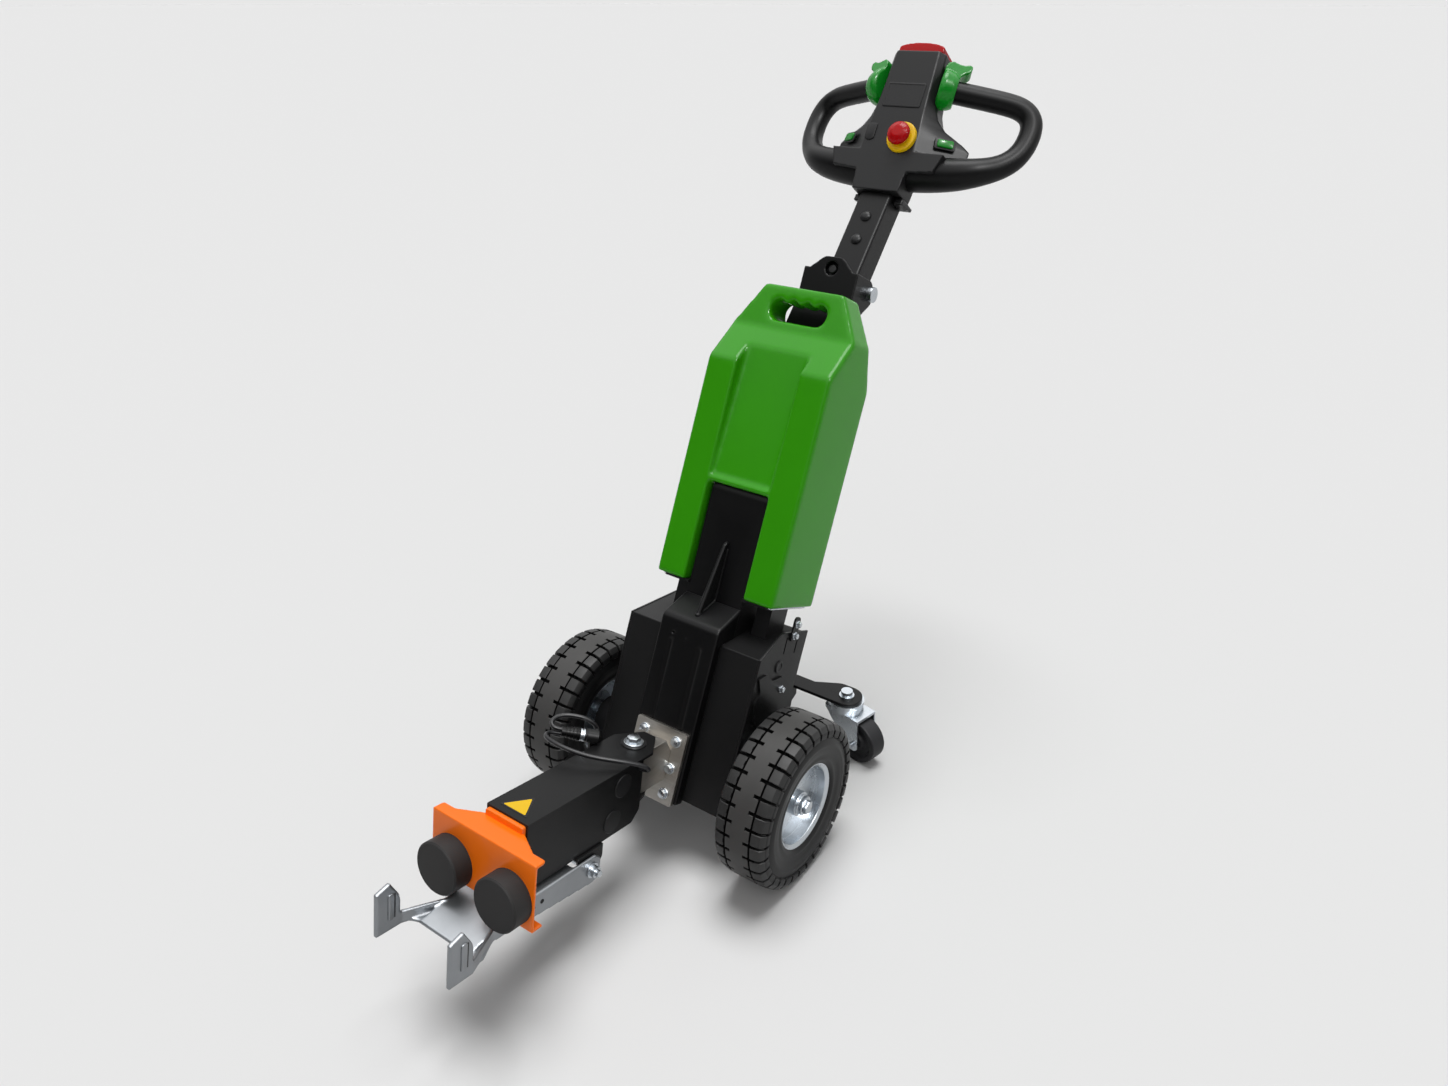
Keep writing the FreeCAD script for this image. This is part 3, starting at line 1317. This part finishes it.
def make_head():
    """Moulded housing of the tiller head, with arms and swept-back shoulders."""
    body = new_body("head_housing")
    long = size("head_long")
    half = size("head_half")
    top_half = size("head_top_half")
    arm = size("arm_half")
    shoulder = size("shoulder_half")
    crease = size("crease_half")
    arm_top = size("arm_top")
    outline = sketch_on(body, "XZ")
    trace(outline, mirrored([(half, 0), (half + 3, 32), (arm, 36), (arm + 10, arm_top)]))
    pad(body, outline, head_deep, reverse=True)
    taper = (crease - top_half) / (long - arm_top)
    steps = [(arm_top, arm + 11, 0), (arm_top + 8, shoulder - 3, 0), (arm_top + 16, shoulder, 0),
             (arm_top + 28, shoulder, 0),
             (arm_top + 36, shoulder - 12, 2), (arm_top + 50, crease + 28, 8), (arm_top + 64, crease + 14, 10),
             (arm_top + 82, crease + 6, 10), (arm_top + 110, crease + 2, 8), (long, top_half + 9, 5)]
    sections = [head_section(body, height, side_half, crease - (height - arm_top) * taper, extra)
                for height, side_half, extra in steps]
    loft = body.newObject("PartDesign::AdditiveLoft", "head_shoulders")
    loft.Profile = sections[0]
    loft.Sections = sections[1:]
    loft.Ruled = True
    hand_in(body, HEAD)
    return body


grip_sweep = size("grip_sweep")
grip_high = size("head_long") - size("grip_below_top")
grip_tip = size("grip_tip")


def handle_place(hand):
    """Frame of a handle loop, swept and tipped back from the head's face."""
    turn = Rotation(Vector(0, 0, 1), hand * grip_sweep.value)
    return shifted(HEAD, y=-size("grip_ahead")) * Placement(Vector(), turn * Rotation(Vector(1, 0, 0),
                                                                                   -grip_tip.value))


def make_handle(name, hand, head):
    """Bent grip tube; its lower root swells and is cut to seat on the head."""
    body = new_body(f"{name}_tube")
    reach = size("grip_reach")
    high = grip_high
    start = size("grip_start")
    path = sketch_on(body, "XZ")
    trace(path, [(hand * start, high), (hand * (reach - 25), high + 2), (hand * (reach + 9), 130),
                 (hand * (reach - 26), 77), (hand * 140, 49)], {1: 42, 2: 40, 3: 40}, closed=False)
    ring = sketch_on(body, "YZ", hand * start)
    trace_circle(ring, 0, high, grip_radius)
    pipe = body.newObject("PartDesign::AdditivePipe", f"{name}_pipe")
    pipe.Profile = ring
    pipe.Spine = path
    body.Placement = handle_place(hand)
    sleeve = new_body(f"{name}_sleeve")
    profile = sketch_on(sleeve, "XY")
    root = size("grip_root_radius")
    long = size("grip_root_long")
    trace(profile, [(0, 0), (0, root), (long * 0.45, root), (long, grip_radius + 0.5), (long, 0)], {2: 40})
    revolve(sleeve, profile)
    swing = size("grip_root_sweep").value
    turn = Rotation(Vector(0, 0, 1), swing if hand > 0 else 180 - swing)
    rise = Rotation(Vector(0, 1, 0), -size("grip_root_rise").value)
    spot = Vector(hand * size("grip_root_side").value, size("grip_root_back").value, size("grip_root_up").value)
    sleeve.Placement = HEAD * Placement(spot, turn * rise)
    grip = doc.addObject("Part::Fuse", f"{name}_grip")
    grip.Base = body
    grip.Tool = sleeve
    handle = doc.addObject("Part::Cut", name)
    handle.Base = grip
    handle.Tool = head
    hand_in(handle)


def make_thumb_lever(name, hand, head):
    """Tapered hub on the line of the handle's upper run, with a thumb paddle."""
    body = new_body(f"{name}_blank")
    start = size("grip_start") - size("seat_gap")
    hub_long = size("hub_long")
    hub = sketch_on(body, "XY", grip_high)
    inner = start - hub_long
    trace(hub, [(hand * inner, 0), (hand * inner, grip_radius + 8), (hand * (inner + 6), grip_radius + 8),
                (hand * start, grip_radius + 2), (hand * start, 0)])
    revolve(body, hub)
    paddle = sketch_on(body, "XZ", 4)
    trace(paddle, [(hand * (start - hub_long), grip_high), (hand * (start - hub_long), grip_high + 30),
                   (hand * (start - hub_long + 4), grip_high + 38), (hand * (start + 12), grip_high + 36),
                   (hand * (start + 12), grip_high + 22), (hand * start, grip_high + 20), (hand * start, grip_high)],
          {2: 5, 3: 5, 4: 5, 5: 4})
    pad(body, paddle, 22)
    body.Placement = handle_place(hand)
    lever = doc.addObject("Part::Cut", name)
    lever.Base = body
    lever.Tool = head
    hand_in(lever)


def make_safety_switch():
    body = new_body("safety_switch")
    long = size("head_long") + size("seat_gap")
    half = size("head_top_half") + 3
    sketch = sketch_on(body, "XZ", -8)
    trace(sketch, mirrored([(half, long), (half, long + 11), (half - 14, long + 15), (8, long + 17)]),
          {1: 5, 2: 20, 5: 20, 6: 5})
    pad(body, sketch, head_deep - 8, reverse=True)
    hand_in(body, HEAD)


def make_stop_button():
    """Yellow base and red mushroom of the emergency stop."""
    side_step = 20
    up = 87
    base = new_body("stop_base")
    base_sketch = sketch_on(base, "XZ")
    trace_circle(base_sketch, side_step, up, 24.5)
    pad(base, base_sketch, 7)
    hand_in(base, HEAD)
    cap = new_body("stop_button")
    profile = sketch_on(cap, "XY")
    trace(profile, [(0, -7), (10, -7), (10, -11), (18, -11), (18, -18), (8, -25), (0, -25)], {4: 4, 5: 10})
    feature = revolve(cap, profile)
    feature.ReferenceAxis = (profile, ["V_Axis"])
    hand_in(cap, shifted(HEAD, x=side_step, z=up))


def make_head_clamp():
    """Block round the column, under the head, that clamps the two together."""
    body = new_body("head_clamp")
    back = size("column_deep") - column_front
    gap = size("seat_gap")
    tilt = tangent(size("column_angle") - size("head_angle"))
    wall = size("clamp_wall")
    front = column_front - 14

    def under_head(ahead):
        return column_above + (column_front + head_offset - ahead) * tilt
    block = sketch_on(body, "YZ")
    trace(block, side([(front, under_head(front) - 12), (front, under_head(front)),
                       (-back - 6, under_head(-back - 6)), (-back - 6, under_head(-back - 6) - 6)]))
    pad(body, block, 2 * (column_half + wall), symmetric=True)
    hollow = sketch_on(body, "XY", column_above - 40)
    inner = column_half + gap
    trace(hollow, mirrored([(inner, -front - 1), (inner, back + gap)]))
    pocket(body, hollow, 100, reverse=True)
    hand_in(body, TILT)


make_housing()
side_top = size("side_top")
make_side_plate("side_plate_left", -1, [(-housing_back, roof_back)])
make_side_plate("side_plate_right", 1, [(size("side_top_front") + 6, side_top - 2),
                                        (size("side_top_front") - 6, side_top), (-housing_back, side_top)])
make_latch_strap()
make_brake_plate()
make_spine()
make_mast()
make_mount_plate()
make_knuckle()
for label, hand in (("left", -1), ("right", 1)):
    make_drive_unit(f"drive_unit_{label}", hand)
    make_rim(f"rim_{label}", hand)
    make_tyre(f"tyre_{label}", hand)
make_caster_beam()
for label, hand in (("left", -1), ("right", 1)):
    make_caster_race(f"caster_race_{label}", hand)
    make_caster_fork(f"caster_fork_{label}", hand)
    make_caster_wheel(f"caster_wheel_{label}", hand)
make_cassette()
make_battery_seat()
make_boom()
make_pivot_bolt()
make_bumper()
for label, hand in (("left", -1), ("right", 1)):
    make_buffer(f"buffer_{label}", hand)
make_hook_lever()
make_lever_ears()
make_hook_bolt()
make_plug()
make_boot()
make_lead("lead_front", -3.4, FRONT_STRAND)
make_lead("lead_rear", 3.4, REAR_STRAND)
make_top_bracket()
make_bracket_plunger()
make_tilt_bolt()
make_column()
head = make_head()
for label, hand in (("left", -1), ("right", 1)):
    make_handle(f"handle_{label}", hand, head)
    make_thumb_lever(f"thumb_lever_{label}", hand, head)
make_safety_switch()
make_stop_button()
make_head_clamp()

# --------------------------------------------------------------------------
# Check every object, then write each sub-part
# --------------------------------------------------------------------------
doc.recompute()
for thing in doc.Objects:
    if {"Invalid", "Error"} & set(thing.State):
        raise RuntimeError(f"{thing.Label} did not compute")
os.makedirs("parts", exist_ok=True)
for thing in PARTS:
    if thing.Shape.isNull() or not thing.Shape.isValid():
        raise RuntimeError(f"{thing.Label} has no valid shape")
    thing.Shape.exportStep(f"parts/{thing.Label}.step")
    box = thing.Shape.BoundBox
    print(f"{thing.Label:18s} {len(thing.Shape.Solids)} solid(s)  x {box.XMin:7.1f} {box.XMax:7.1f}"
          f"  y {box.YMin:7.1f} {box.YMax:7.1f}  z {box.ZMin:7.1f} {box.ZMax:7.1f}")
